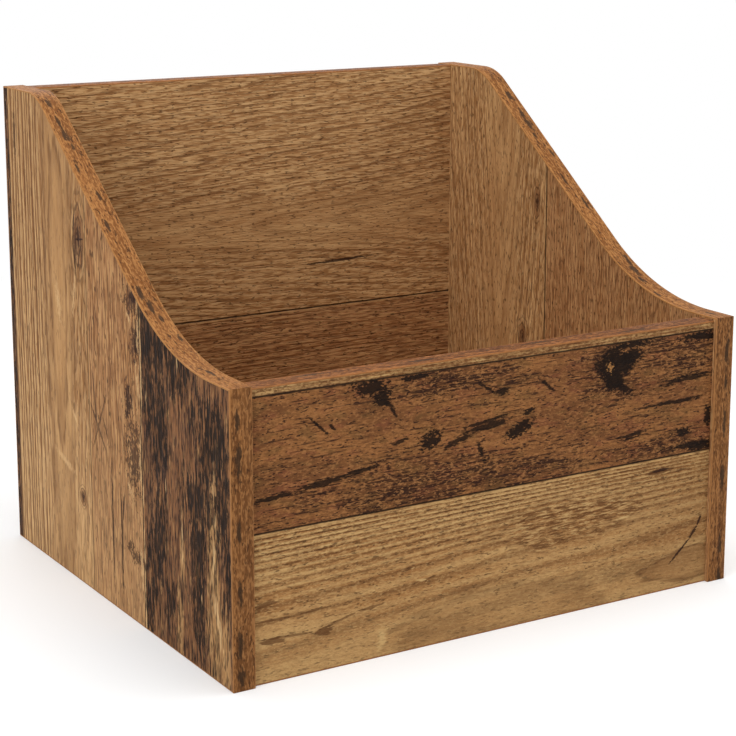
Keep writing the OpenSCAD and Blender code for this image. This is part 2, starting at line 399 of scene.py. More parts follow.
def flecked_board(g, seed, coarse=1.0):
    """A warmer light board with close, broken, straight grain."""
    spread = 3.6
    surface = two_toned(g, (8, 90, seed, 2, 0.6), 0.36, 0.64, BISCUIT, BISCUIT_PALE)
    warp = (g.noise(24, 120, seed + 2, 2) - 0.5) * 2.4
    growth_rings(surface, g.across / spread + warp, seed + 3, BISCUIT_DEEP, 0.85, 0.1)
    grit(surface, seed + 7, 1.8 * coarse, BISCUIT_LINE, 0.42, HONEY_PALE, 0.66, 9.0)
    dashes = g.noise(1.9 * coarse, 24, seed + 4, 2, 0.6)
    surface.coat(g.step(dashes, 0.55, 0.66), BISCUIT_LINE, 0.70 * coarse, 0.2)
    return fibres(surface, seed + 5, 1.8 * coarse, BISCUIT_LINE, 0.40 * coarse, 0.75)


def weathered_board(g, seed, soot, worn):
    """A dark board: umber and cocoa grain, sooty patches and tan places worn through."""
    surface = two_toned(g, (6, 60, seed, 3, 0.65), 0.40, 0.60, UMBER, COCOA)
    grain = g.noise(1.7, 19, seed + 1, 3, 0.65)
    surface.coat(g.step(grain, 0.49, 0.37), BISCUIT, 0.48)
    wander = (g.noise(5, 30, seed + 3, 3, 0.65) - 0.5) * 2.8
    near_worn = g.marks(*worn) + wander * 0.4 + (grain - 0.5) * 4.0
    surface.coat(g.step(near_worn, 1.35, 0.50), WORN_TAN, 0.85)
    surface.coat(g.step(grain, 0.51, 0.63), SOOT, 0.66, 0.22)
    surface.coat(g.step(g.noise(1.7, 14, seed + 5, 2), 0.58, 0.66), WORN_TAN, 0.50)
    ragged = (g.noise(3.2, 6, seed + 9, 3, 0.7) - 0.5) * 3.0
    near_soot = g.marks(*soot) + wander * 0.8 + ragged + (grain - 0.5) * -3.2
    surface.coat(g.step(near_soot, 1.46, 0.86), SOOT, 0.90, 0.12)
    return grit(surface, seed + 7, 1.8, SOOT, 0.58, BISCUIT_DEEP, 0.40, 5.0)


def stained(surface, seed, stains, colour=PLUM, share=0.88, ragged=1.6, width=1.4, stretch=2.0):
    """Dark stains with specks around them. Their ragged rims are drawn out along the grain."""
    g = surface.graph
    wander = (g.noise(width * 2.2, width * 2.2 * stretch, seed, 4, 0.75) - 0.5) * ragged * 2.4
    grain = (g.noise(width, width * stretch, seed + 1, 1, 0.6) - 0.5) * ragged * 1.6
    return surface.coat(g.step(g.marks(*stains) + wander + grain, 1.22, 0.78), colour, share, 0.15)


def cracked(surface, seed, cracks, colour=SOOT, share=0.9, broken=1.6):
    """Thin dark cracks that waver and break up a little. Each one is a stroke."""
    g = surface.graph
    waver = (g.noise(1.3, 5, seed, 2, 0.6) - 0.5) * broken
    near = g.marks(*(stroke(*crack) for crack in cracks)) + waver
    return surface.coat(g.step(near, 1.15, 0.65), colour, share, 0.45)


def closed_ring(surface, seed, mark, deep, line, share):
    """A long ring that the saw has cut at a shallow angle, a shade deeper inside."""
    g = surface.graph
    near = g.marks(mark) + (g.noise(5, 40, seed, 2) - 0.5) * 0.8
    surface.coat(g.step(near, 1.1, 0.9), deep, share * 0.6)
    surface.coat(g.step(g.math("ABSOLUTE", near - 0.90), 0.28, 0.02), line, share * 0.45)
    broken = g.step(g.noise(3, 22, seed + 1, 1), 0.34, 0.54)
    rim = g.step(g.math("ABSOLUTE", near - 1.05), 0.16, 0.03) * broken
    return surface.coat(rim, line, share, 0.15)


def knot(surface, seed, across, along, half_across, half_along, turn=0):
    """A knot: a reddish eye with nested rings around it and a dark heart."""
    g = surface.graph
    grain = (g.noise(1.5, 5, seed + 1, 1, 0.6) - 0.5) * 1.2
    near = g.marks((across, along, half_across, half_along, turn))
    near = near + (g.noise(4, 12, seed, 2) - 0.5) * 0.7
    surface.coat(g.step(near, 1.25, 0.75), KNOT_RED, 0.50, 0.05)
    rim = g.step(g.sine(near * 2.1 + 0.1) + grain, 0.2, 0.9) * g.step(near, 1.9, 1.2)
    surface.coat(rim, FLECK, 0.60, 0.15)
    return surface.coat(g.step(near + grain, 0.50, 0.20), PLUM, 0.80, 0.20)


def flaked(surface, flakes, grain, wander, fray, share, colour=HONEY_LIT, depth=0.0):
    """Light flakes, each one a stroke, with rims frayed by a noise. grain is what the noise takes.
    fray is how far from a flake its colour ends, and how far from it the colour is full."""
    g = surface.graph
    near = g.marks(*(stroke(*flake) for flake in flakes)) + (g.noise(*grain) - 0.5) * wander
    return surface.coat(g.step(near, *fray), colour, share, depth)


def seam(g, surface, beyond, at, seed, ragged, lit=0.75, lit_colour=HONEY_PALE, dark=0.88):
    """Joins the board beyond a line along the grain, with a painted highlight on the lip and a dark
    gap between.
    """
    edge = g.across - at + (g.noise(3, 12, seed, 4, 0.7) - 0.5) * ragged * 2
    strength = g.step(g.noise(6, 13, seed + 1, 2), 0.38, 0.58)
    # painted highlight: a pale strip along the board's lip, before the dark gap of the seam
    lip = g.step(g.math("ABSOLUTE", edge + 1.1), 1.0, 0.3) * (strength * 0.85 + 0.15)
    surface.coat(lip, lit_colour, lit)
    made = surface.joined(beyond, g.step(edge, -0.15, 0.15))
    return made.coat(g.step(g.math("ABSOLUTE", edge - 0.1), 0.80, 0.30), SOOT, dark, 0.5)


def core_of(g, surface, low, high, seed):
    """Chipboard wherever a bore cuts into the board between its two decor faces."""
    core = two_toned(g, (1.6, 3.2, seed, 3, 0.7), 0.42, 0.60, CHIP_DARK, CHIP_PALE)
    core.coat(g.step(g.noise(0.9, 2.2, seed + 1, 2), 0.60, 0.72), HONEY_LINE, 0.7, 0.4)
    inside = g.step(g.through, low + 0.2, low + 0.3) * g.step(g.through, high - 0.2, high - 0.3)
    return surface.joined(core, inside)


def left_rear_board(g):
    """The light board with a long V of rings and two knots."""
    rear = cathedral_board(g, 11, middle=80.6)
    rear.coat(g.step(g.along, 130, 330), HONEY_DEEP, 0.36)
    rear.coat(g.step(g.along, 170, 0), HONEY_LIT, 0.30)
    straight = g.across / 5.2 + (g.noise(12, 190, 27, 1) - 0.5) * 2.0
    by_edge = g.step(g.across, 98, 116)
    # painted highlight: a pale line beside each straight ring near the edge, as on embossed grain
    rear.coat(g.step(g.sine(straight + 0.40), 0.3, 1.0) * by_edge, HONEY_LIT, 0.46)
    rear.coat(g.step(g.sine(straight) + (g.noise(1.6, 26, 28, 2) - 0.5) * 1.5, 0.4, 0.9) * by_edge,
              HONEY_LINE, 0.80, 0.2)
    closed_ring(rear, 18, (80, 205, 22, 220, 0), HONEY_PALE, HONEY_LINE, 0.50)
    closed_ring(rear, 19, (81, 200, 13.5, 100, 0), HONEY, HONEY_LINE, 0.60)
    knot(rear, 21, 44, 242, 8.5, 20, 3)
    knot(rear, 22, 48, 62.5, 5.0, 5.5)
    stained(rear, 23, [(49, 236, 2.0, 11, 0), (39, 232, 1.2, 10, 0), (152, 297, 2.0, 14, 0)],
            FLECK, 0.70, 0.9)
    cracked(rear, 24, [
        (49.5, 259, 52.5, 238, 0.9), (52.5, 238, 49.0, 214, 1.0), (49, 239, 36, 241, 0.8),
        (46, 220, 40, 236, 0.7),
    ], PLUM)
    return flaked(rear, [
        (92, 85, 62, 76, 2.4), (63, 122, 52, 109, 1.8), (58, 184, 51, 214, 1.8),
        (84, 205, 79, 178, 3.5),
    ], grain=(1.7, 5, 27, 3, 0.7), wander=4.0, fray=(1.4, 0.2), share=0.70)


def left_middle_board(g):
    """The flecked board, stained along its front edge, with scratches that cross."""
    middle = flecked_board(g, 31)
    middle.coat(g.step(g.along, 190, 20), HONEY_LIT, 0.20)
    stained(middle, 37, [
        (-40, 213, 10, 8, 0), (-43, 190, 5, 13, 8), (-38, 112, 11, 18, 0),
        (-28.5, 48.7, 3, 4, 0), (-38, 45, 8, 4, 0),
    ], PLUM, 0.74, 2.4)
    stained(middle, 38, [
        (-29, 146, 4.5, 11, 0), (-44, 188, 3, 8, 8), (-41, 216, 5, 3, 0),
    ])
    cracked(middle, 36, [
        (31, 132, 6, 103, 1.2), (6, 141, 29, 101, 1.2), (27, 158, 21, 116, 1.2),
        (12, 128, 3, 112, 1.1),
    ], PLUM, 0.62, 2.0)
    flaked(middle, [
        (-46.5, 214, -46.5, 176, 2.2), (-42, 172, -46.5, 150, 2.0), (-46.5, 136, -46, 92, 1.8),
        (-45, 60, -46, 20, 1.6), (-30, 206, -36, 198, 1.4), (-24, 96, -34, 82, 1.8),
    ], grain=(2.0, 7, 47, 3, 0.7), wander=5.5, fray=(1.1, 0.2), share=0.70, depth=-0.1)
    return cracked(middle, 39, [
        (-0.9, 104, -0.9, 12, 1.1), (-15.5, 88, -14.2, 10, 1.2), (-20, 84, -17, 64, 1.1),
    ], PLUM)


def left_front_board(g):
    """The dark weathered board, with soot, worn places and light flakes."""
    front = weathered_board(g, 41, soot=[
        (-66, 196, 22, 30, 10), (-100, 182, 16, 14, 0), (-62, 158, 12, 22, 0),
        (-76, 138, 9, 28, 0), (-73, 70, 9, 24, 0), (-62, 48, 10, 20, 0),
        (-52, 20, 7, 22, 0), (-87, 31, 6, 12, 0), (-148, 146, 21, 24, 0),
        (-128, 108, 18, 17, 0), (-161, 112, 9, 22, 0), (-126, 74, 8, 26, 0),
        (-165, 72, 5, 22, 0), (-127, 34, 9, 24, 0),
    ], worn=[
        (-147, 50, 7, 76, 0), (-155, 22, 12, 24, 0), (-104.5, 64, 3, 14, 0),
        (-125, 61, 2.4, 7, 0), (-100, 20, 4, 22, 0),
    ])
    return flaked(front, [
        (-148, 128, -149, 94, 1.4), (-149, 98, -145, 60, 2.4), (-146, 62, -157, 16, 2.8),
        (-105, 90, -104.5, 58, 1.3), (-130.5, 50, -129.5, 42, 1.3), (-56, 160, -57, 150, 1.8),
        (-101, 190, -101.5, 178, 0.9), (-82, 112, -83, 100, 0.8),
    ], grain=(1.9, 11, 46, 2, 0.6), wander=5.0, fray=(1.0, 0.0), share=0.72, depth=-0.1)


def side_outer_left(g):
    """The outer face that the photograph shows. Boards run upright: across is Y, along is Z."""
    front_seam, rear_seam, strip_seam = -48.3, 32.9, 162.8
    off_the_board = (400, 0, 1, 1, 0)
    rear = left_rear_board(g)
    middle = left_middle_board(g)
    front = left_front_board(g)
    strip = weathered_board(g, 51, soot=[(166.5, 170, 1.6, 170, 0)], worn=[off_the_board])
    made = seam(g, front, middle, front_seam, 61, 1.7, lit=0.95, lit_colour=HONEY_LIT)
    made = seam(g, made, rear, rear_seam, 63, 0.3, lit=0.8, dark=0.62)
    return seam(g, made, strip, strip_seam, 65, 0.3, lit=0.1)


def side_outer_right(g):
    """The outer face that the photograph hides: the same boards in another order."""
    rear = weathered_board(g, 141, soot=[
        (140, 250, 16, 40, 0), (108, 190, 12, 30, 0), (150, 96, 11, 32, 0),
        (112, 60, 14, 20, 0),
    ], worn=[
        (128, 130, 6, 80, 0), (156, 20, 12, 16, 0),
    ])
    middle = flecked_board(g, 131)
    stained(middle, 137, [
        (84, 170, 7, 15, 0), (80, 106, 9, 11, 0), (88, 40, 6, 15, 0),
        (30, 214, 8, 5, 0),
    ])
    cracked(middle, 139, [(44, 200, 45, 120, 1.1), (20, 90, 21, 14, 1.1)], PLUM)
    front = cathedral_board(g, 111, middle=-92)
    knot(front, 121, -60, 122, 7.5, 16)
    cracked(front, 124, [(-62, 136, -59, 106, 1.1), (-128, 60, -127, 32, 1.2)], PLUM)
    front_seam, rear_seam = -22, 95
    made = seam(g, front, middle, front_seam, 161, 0.5, lit=0.5)
    return seam(g, made, rear, rear_seam, 163, 1.2)


def side_inner(g, seed, middle):
    """A side's face inside the bay: light boards with upright grain."""
    first = cathedral_board(g, seed, middle, FINER)
    second = flecked_board(g, seed + 20, FINER)
    knot(first, seed + 30, middle - 30, 130, 5, 10)
    knot(first, seed + 31, middle - 46, 236, 4, 11)
    cracked(second, seed + 33, [(-60, 150, -59, 90, 1.1), (-110, 60, -109, 20, 1.1)], PLUM)
    inner_seam = 22
    return seam(g, second, first, inner_seam, seed + 40, 0.4, lit=0.4)


def russet_board(g, seed, blots, thin, rough_area):
    """The reddish-brown board of the front: smooth, peppered with dark pores, with black blots.
    blots and rough_area are marks, and thin are strokes."""
    surface = two_toned(g, (13, 50, seed, 2, 0.6), 0.36, 0.64, RUSSET_DEEP, RUSSET)
    tint = g.noise(7, 19, seed + 1, 2, 0.6)
    surface.coat(g.step(tint, 0.53, 0.66), RUSSET_GREEN, 0.50)
    surface.coat(g.step(tint, 0.47, 0.34), RUSSET_RED, 0.45)
    crowd = g.step(g.marks(*rough_area) + (g.noise(9, 28, seed + 3, 2) - 0.5) * 2.0, 1.6, 0.4)
    surface.coat(crowd, PLUM, 0.22)
    lines = g.noise(1.0, 21, seed + 4, 2, 0.6)
    surface.coat(g.step(lines, 0.52, 0.66), RUSSET_DEEP, 0.60, 0.08)
    surface.coat(g.step(lines + crowd * 0.12, 0.60, 0.68), PLUM, 0.85, 0.2)
    grit(surface, seed + 5, 1.2, PLUM, crowd * 0.14 + 0.20, RUSSET_PALE, crowd * 0.20 + 0.40)
    pores = g.noise(1.05, 3.6, seed + 6, 1, 0.6)
    surface.coat(g.step(pores + crowd * 0.05, 0.62, 0.70), PLUM, 0.92, 0.3)
    stained(surface, seed + 7, blots, SOOT, 0.95, 1.25, 1.2)
    return cracked(surface, seed + 9, thin, SOOT, 0.90, 3.0)


def straw_board(g, seed, top):
    """The light board below it: rings crowd under its upper edge and open out lower down, each with
    a painted highlight beside it.
    """
    tone = g.step(g.noise(14, 110, seed, 2, 0.6), 0.36, 0.64)
    surface = Surface(g, g.mix(STRAW, STRAW_PALE, tone * 0.50))
    depth = top - g.across
    fan = (g.along + 175) * 0.0016 + 1.0         # the rings draw together towards the right
    below = depth * fan
    warp = (g.noise(30, 200, seed + 1, 1) - 0.5) * 1.7
    ring_count, crowding = 14, -38
    opening = g.math("EXPONENT", below / crowding)
    rings = ring_count - ring_count * opening + warp * g.step(below, 4, 60)
    crowd = g.step(below, 56, 8)
    surface.coat(g.step(g.sine(rings * 0.5 + 0.1), 0.0, 0.9), STRAW_DEEP, 0.32)
    # painted highlight: a pale line beside each ring, as on embossed grain
    surface.coat(g.step(g.sine(rings + 0.40), 0.30, 1.0), STRAW_LIT, crowd * 0.34 + 0.24)
    growth_rings(surface, rings, seed + 3, STRAW_LINE, crowd * 0.40 + 0.44, 0.42, 1.1, 0.55)
    grit(surface, seed + 7, 1.15, STRAW_LINE, crowd * 0.14 + 0.20, STRAW_LIT, crowd * 0.10 + 0.24)
    surface.coat(g.step(g.noise(1.0, 3.4, seed + 9, 1, 0.6), 0.64, 0.74), STRAW_LIT, 0.55)
    return fibres(surface, seed + 5, 1.15, STRAW_LINE, crowd * 0.10 + 0.18, 0.60)


def front_light_board(g, top):
    """The light board: rings under its upper edge, two closed ones and a knitted place."""
    straw = straw_board(g, 231, top)
    straw.coat(g.step(g.along, 60, 175), STRAW_LINE, 0.20)
    straw.coat(g.step(g.across, 44, 6), STRAW_LIT, 0.22)
    closed_ring(straw, 236, (7, 4, 22, 72, 1), STRAW_DEEP, STRAW_LINE, 0.34)
    closed_ring(straw, 238, (16, 160, 10, 38, -3), STRAW_DEEP, STRAW_LINE, 0.50)
    busy = g.step(g.marks((64, 58, 17, 52, 0)) + (g.noise(8, 20, 246, 2) - 0.5) * 1.8, 1.5, 0.5)
    straw.coat(busy, STRAW_DEEP, 0.35)
    knit = g.noise(1.25, 9, 248, 3, 0.7)
    straw.coat(g.step(knit, 0.51, 0.60) * busy, STRAW_LINE, 0.72, 0.3)
    straw.coat(g.step(knit, 0.46, 0.38) * busy, STRAW_LIT, 0.62)
    stained(straw, 241, [
        (25, -127, 3.0, 6, 0), (26.5, -161, 2.0, 7, 0), (50, -167, 1.8, 9, 0),
        (85.3, 132, 1.8, 10, 0),
    ], STRAW_LINE, 0.75, 1.2, 1.1, 6.0)
    cracked(straw, 243, [
        (49, 170, 41, 166, 1.0), (41.5, 166.3, 32.5, 159.2, 1.4), (33, 159.6, 18.5, 143, 0.9),
        (85, 124, 86.5, 142, 1.1),
    ], PLUM)
    cracked(straw, 244, [
        (28.5, -176, 26, -132, 0.8), (26, -133, 33, -102, 0.8), (33, -103, 34.5, -84, 1.0),
        (39.5, -176, 39, -146, 0.8), (39, -147, 40.5, -118, 0.6),
    ], STRAW_LINE, 0.62)
    return flaked(straw, [
        (20, -84, 3, -87, 3.0), (57, 96, 59, 108, 0.9), (45, -60, 44, -52, 0.9),
    ], grain=(1.6, 4, 245), wander=2.8, fray=(1.3, 0.3), share=0.75, colour=STRAW_LIT)


def front_russet_board(g):
    """The reddish-brown board, with blots, scratches and a large knot by its right end."""
    russet = russet_board(g, 211, blots=[
        (172.5, -93, 5.5, 12, 0), (165, -86, 5, 5, 35), (175, -63, 1.8, 11, 0),
        (133.5, -50, 5.0, 7.5, -25), (131.5, 17, 4.2, 10, -25), (141.5, 24, 1.6, 4, -20),
        (167, 106, 5, 9, 0), (146, 101, 3.0, 7, 30), (175, 106, 2.0, 16, 0),
        (174, 164, 3, 16, 0), (118, 172, 6, 3, 0), (110, 150.5, 3, 5, 0),
        (98, 168, 2.6, 12, 0),
    ], thin=[
        (113.5, -178, 117, -138, 1.6), (116.5, -148, 121, -106, 2.1), (120, -114, 124, -88, 1.6),
        (163, -84, 158, -77, 1.2), (166, -16, 157, -2, 1.0), (157, -2, 158, 8, 2.0),
        (163, 30, 153, 43, 1.2), (127, -42, 133, -20, 2.0), (134, -28, 139, 9, 2.2),
        (138, -24, 142, 8, 1.2), (129, -16, 114, -10, 1.8), (145, 131, 147.5, 177, 2.2),
        (131, 115, 132, 170, 1.3), (113, 93, 115, 121, 1.3), (110.5, 95, 113, 120, 0.9),
        (99, 136, 100.5, 177, 1.8), (152, -75, 160, -80, 1.0), (161, -137, 148, -123, 0.9),
        (154, -122, 149, -117, 0.8), (135, -78, 138, -65, 1.3),
    ], rough_area=[
        (107, -42, 16, 88, 0), (103, 136, 7, 46, 0), (163, 140, 15, 42, 0),
        (168, -30, 9, 46, 0), (163, 92, 26, 26, 0),
    ])
    stained(russet, 217, [(163, 90, 12, 12.5, 0), (153, 92, 7.5, 8, 0), (163, 99, 8, 8, 0)],
            SOOT, 0.96, 0.7, 1.2)
    return flaked(russet, [(161.5, 84, 161.5, 92, 5.0)], grain=(1.4, 2.2, 247, 2, 0.7), wander=4.2,
                  fray=(0.5, 0.2), share=0.8, colour=AMBER_PALE)


def front_outer(g):
    """The front that the photograph shows. Its boards lie level: across is Z, along is X."""
    seam_z, strip_z, top_z = 94.3, 177.3, 184
    straw = front_light_board(g, seam_z)
    russet = front_russet_board(g)
    strip = straw_board(g, 261, top_z)
    strip.coat(g.step(g.noise(4, 26, 265, 2, 0.7), 0.28, 0.56), RUSSET_DEEP, 0.60)
    grit(strip, 266, 1.15, STRAW_LINE, 0.50, STRAW_PALE, 0.30)
    made = seam(g, straw, russet, seam_z, 251, 0.12, lit=0.75, lit_colour=STRAW_PALE)
    return seam(g, made, strip, strip_z, 253, 0.12, lit=0.0)


def level_boards(g, seed, low_seam, high_seam):
    """Three boards that lie level, for faces that the photograph hides."""
    low = straw_board(g, seed, low_seam)
    middle = russet_board(g, seed + 20, blots=[
        (low_seam + 30, 70, 7, 13, 0), (low_seam + 52, -94, 5, 16, 15),
        (low_seam + 20, -30, 4, 9, -20),
    ], thin=[
        (low_seam + 16, -160, low_seam + 22, -70, 2.0),
        (low_seam + 60, 20, low_seam + 66, 96, 1.6),
        (low_seam + 40, 120, low_seam + 44, 172, 1.6),
    ], rough_area=[(low_seam + 14, 60, 12, 80, 0), (low_seam + 64, -60, 10, 90, 0)])
    high = cathedral_board(g, seed + 40, high_seam + 46, FINER)
    knot(high, seed + 50, high_seam + 22, -60, 6, 14)
    cracked(high, seed + 52, [(high_seam + 21, -74, high_seam + 24, -48, 1.1)], PLUM)
    made = seam(g, low, middle, low_seam, seed + 60, 0.2, lit=0.6, lit_colour=STRAW_PALE)
    return seam(g, made, high, high_seam, seed + 62, 0.8, lit=0.4)


def light_level_boards(g, seed, seam_z):
    """Two light boards that lie level, for the inside of the back panel."""
    low = flecked_board(g, seed, FINER)
    stained(low, seed + 10, [(seam_z - 40, -96, 4, 12, 0), (seam_z - 76, 64, 5, 10, 10)],
            PLUM, 0.8)
    high = cathedral_board(g, seed + 20, seam_z + 66, FINER)
    cracked(high, seed + 30, [(seam_z + 34, 40, seam_z + 36, 104, 1.1)], PLUM)
    return seam(g, low, high, seam_z, seed + 40, 0.4, lit=0.5)


def two_faced(name, axes, lower_face, upper_face, low, high, seed):
    """A board's material: one decor on the face at low, another on the face at high."""
    g = Graph(name, axes)
    middle = (low + high) / 2
    made = lower_face(g).joined(upper_face(g), g.step(g.through, middle - 0.5, middle + 0.5))
    made = core_of(g, made, low, high, seed)
    sheen = g.noise(4, 30, seed + 5, 2)
    return finish_material(g, made, rough=0.50 + sheen * 0.24, relief=0.9)


# ---- Edge bands ----

def band_decor(name, tones, middle, spots, seed, axes="XZY", attribute=None):
    """Edge band with straight grain along it, fine flecks, long dark spots and rubbed arrises.
    tones are its deep, usual and pale colour. middle is how far across its middle lies."""
    deep, usual, pale = tones
    g = Graph(name, axes, attribute)
    made = two_toned(g, (2.6, 70, seed, 3, 0.6), 0.36, 0.62, deep, usual)
    made.coat(g.step(g.noise(1.5, 22, seed + 1, 2), 0.52, 0.64), pale, 0.50)
    made.coat(g.step(g.noise(1.1, 10, seed + 2, 2, 0.6), 0.53, 0.64), deep, 0.70, 0.10)
    grit(made, seed + 8, 1.2, deep, 0.75, pale, 0.55, 3.2)
    crowd = g.step(g.noise(5, 24, seed + 3, 1), 0.42, 0.64)
    made.coat(g.step(g.noise(1.1, 4, seed + 4, 2) + crowd * 0.07, 0.62, 0.70), FLECK, 0.82, 0.2)
    wander = (g.noise(1.7, 6, seed + 5, 3, 0.65) - 0.5) * 3.4
    made.coat(g.step(g.marks(*spots) + wander, 1.4, 0.7), BAND_SPOT, 0.88, 0.1)
    off = g.math("ABSOLUTE", g.math("ABSOLUTE", g.across) - middle)
    rubbed = g.step(off + g.noise(1.2, 9, seed + 7, 2) * 1.6, 7.3, 8.1)
    made.coat(rubbed, pale, 0.70)
    rough = 0.48 + g.noise(3, 20, seed + 6, 2) * 0.2 - rubbed * 0.1
    return finish_material(g, made, rough, relief=0.5)


def side_path():
    """The top edge of a side panel from the rear to the front, as (y, z, outward y, outward z)."""
    shoulder = Vector((HALF_DEPTH - REAR_FLAT, TOP_Z - SHOULDER_R))
    sweep = Vector((-HALF_DEPTH + FRONT_FLAT, FRONT_Z + SWEEP_R))
    apart = shoulder - sweep
    slope = math.atan2(apart.y, apart.x) + math.asin((SHOULDER_R + SWEEP_R) / apart.length)
    path = [(HALF_DEPTH - BAND, TOP_Z, 0.0, 1.0)]
    for i in range(SHOULDER_STEPS + 1):
        turn = slope * i / SHOULDER_STEPS
        out = (-math.sin(turn), math.cos(turn))
        path.append((shoulder.x + SHOULDER_R * out[0], shoulder.y + SHOULDER_R * out[1], *out))
    for i in range(SWEEP_STEPS + 1):
        turn = slope * (1 - i / SWEEP_STEPS)
        out = (-math.sin(turn), math.cos(turn))
        path.append((sweep.x - SWEEP_R * out[0], sweep.y - SWEEP_R * out[1], *out))
    path.append((-HALF_DEPTH + BAND, FRONT_Z, 0.0, 1.0))
    return path


def strip_mesh(name, rings, soft_ends):
    """A strip through rings of four corners: two on its outer face, then two on its inner face.
    Its two outer arrises are rounded, and so are the ends named in soft_ends (0 first, 1 last)."""
    bm = bmesh.new()
    loops = [[bm.verts.new(Vector(corner) * MM) for corner in ring] for ring in rings]
    for one, two in zip(loops, loops[1:]):
        for i in range(4):
            j = (i + 1) % 4
            bm.faces.new((one[i], one[j], two[j], two[i]))
    bm.faces.new(loops[0][::-1])
    bm.faces.new(loops[-1])
    bmesh.ops.recalc_face_normals(bm, faces=bm.faces)
    soft = []
    for one, two in zip(loops, loops[1:]):
        soft += [bm.edges.get((one[i], two[i])) for i in (0, 1)]
    for end in soft_ends:
        loop = loops[-1] if end else loops[0]
        soft += [bm.edges.get((loop[i], loop[(i + 1) % 4])) for i in (0, 1, 3)]
    bmesh.ops.bevel(bm, geom=soft, offset=ARRIS * MM, segments=ARRIS_STEPS, profile=0.5,
                    affect="EDGES", clamp_overlap=True)
    mesh = bpy.data.meshes.new(name)
    bm.to_mesh(mesh)
    bm.free()
    return mesh


def add_piece(name, mesh, material, node):
    """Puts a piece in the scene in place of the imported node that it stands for."""
    piece = new_object(name, mesh)
    mesh.materials.append(material)
    mesh.shade_smooth()
    mesh.set_sharp_from_angle(angle=math.radians(SHARP_DEGREES))
    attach(piece, "root")
    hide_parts(node)


def curved_band(side):
    """The band on a side panel's top edge. It carries its own grain: across, along and through."""
    sign = 1 if side == "right" else -1
    path = side_path()
    rings = []
    for y, z, out_y, out_z in path:
        inner_y, inner_z = y - BAND * out_y, z - BAND * out_z
        rings.append([(sign * INNER_X, y, z), (sign * OUTER_X, y, z),
                      (sign * OUTER_X, inner_y, inner_z), (sign * INNER_X, inner_y, inner_z)])
    mesh = strip_mesh(f"{side}_top_band", rings, soft_ends=())
    runs = [0.0]
    for one, two in zip(path, path[1:]):
        runs.append(runs[-1] + math.hypot(two[0] - one[0], two[1] - one[1]))
    grain = mesh.attributes.new("grain", "FLOAT_VECTOR", "POINT")
    for vertex in mesh.vertices:
        x, y, z = vertex.co / MM
        near = min(range(len(path)), key=lambda i: (path[i][0] - y) ** 2 + (path[i][1] - z) ** 2)
        near_y, near_z, out_y, out_z = path[near]
        along = runs[near] + (y - near_y) * -out_z + (z - near_z) * out_y
        depth = (near_y - y) * out_y + (near_z - z) * out_z
        grain.data[vertex.index].vector = (x - sign * OUTER_X, along, depth)
    return mesh


def straight_band(name, node, outward, material, soft_ends=()):
    """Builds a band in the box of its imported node. outward is the sign and axis of its outer face.
    The band runs along the longest of the other two axes."""
    low, high = box_mm(node)
    out_axis, out_sign = "xyz".index(outward[1]), 1 if outward[0] == "+" else -1
    others = sorted((i for i in range(3) if i != out_axis), key=lambda i: high[i] - low[i])
    wide, long = others
    outer, inner = (high, low) if out_sign > 0 else (low, high)
    rings = []
    for end in (low, high):
        ring = []
        for face, side in ((outer, low), (outer, high), (inner, high), (inner, low)):
            corner = [0.0, 0.0, 0.0]
            corner[out_axis], corner[wide], corner[long] = face[out_axis], side[wide], end[long]
            ring.append(corner)
        rings.append(ring)
    add_piece(name, strip_mesh(name, rings, soft_ends), material, node)


# Long dark spots of the bands, as marks. Those of the top bands count across from the outer face
# and along from the rear. Those of the upright bands are (height, half width, half length).
TOP_BAND_SPOTS = [
    (6, 67, 2.0, 5, 0), (6, 88, 1.6, 5, 0), (6.5, 99, 2.2, 7, 0),
    (8, 112, 1.4, 3, 0), (4, 132, 1.0, 4, 0), (9, 160, 1.0, 5, 0),
    (5, 186, 1.0, 6, 0), (4.5, 246, 1.4, 6, 0), (6.5, 259, 1.8, 7, 0),
    (9, 271, 1.4, 3, 0), (12, 292, 1.0, 4, 0), (8, 344, 1.1, 6, 0),
]
LEFT_UPRIGHT_SPOTS = [
    (166, 1.3, 5), (140, 1.6, 11), (98, 1.2, 7), (62, 1.3, 8), (30, 1.9, 8), (9, 2.0, 6),
]
RIGHT_UPRIGHT_SPOTS = [
    (160, 1.6, 9), (140, 1.4, 4), (112, 1.2, 8), (72, 1.4, 10), (25, 1.8, 7), (4, 1.8, 5),
]
UPRIGHT_SPOT_X = 184.7
LEVEL_BAND_SPOTS = [
    (-160, -52, 1.4, 14, 0), (-157, 38, 1.2, 10, 0), (-162, 112, 1.3, 12, 0),
    (-156, -128, 1.2, 9, 0), (161, -96, 1.4, 12, 0), (158, 20, 1.2, 10, 0),
    (160, 120, 1.4, 9, 0),
]
RUNNER_BAND_SPOTS = [(184, 60, 1.3, 8, 0), (-182, -40, 1.3, 8, 0)]


def side_bands(side, seed, moved_along, upright_spots):
    """The bands on a side panel's top, front and rear edges."""
    sign = 1 if side == "right" else -1
    spots = [(sign * -across, along + moved_along, half_across, half_along, turn)
             for across, along, half_across, half_along, turn in TOP_BAND_SPOTS]
    # The top bands take a lighter copy of the upright bands' colours: painted light, as the top edge
    # faces the lamps above
    decor = band_decor(f"{side}_top_band_decor", (AMBER_DEEP, AMBER, AMBER_PALE), HALF_BOARD,
                       spots, seed, "XYZ", "grain")
    node = f"{side}_side_top_edge_band"
    add_piece(f"{side}_top_band", curved_band(side), decor, node)
    spots = [(sign * UPRIGHT_SPOT_X, z, half_across, half_along, 0)
             for z, half_across, half_along in upright_spots]
    decor = band_decor(f"{side}_upright_band_decor", (CHESTNUT_DEEP, CHESTNUT, CHESTNUT_PALE),
                       OUTER_X - HALF_BOARD, spots, seed + 20)
    for place, outward in (("front", "-y"), ("rear", "+y")):
        straight_band(f"{side}_{place}_band", f"{side}_side_{place}_edge_band", outward, decor,
                      soft_ends=(0, 1))


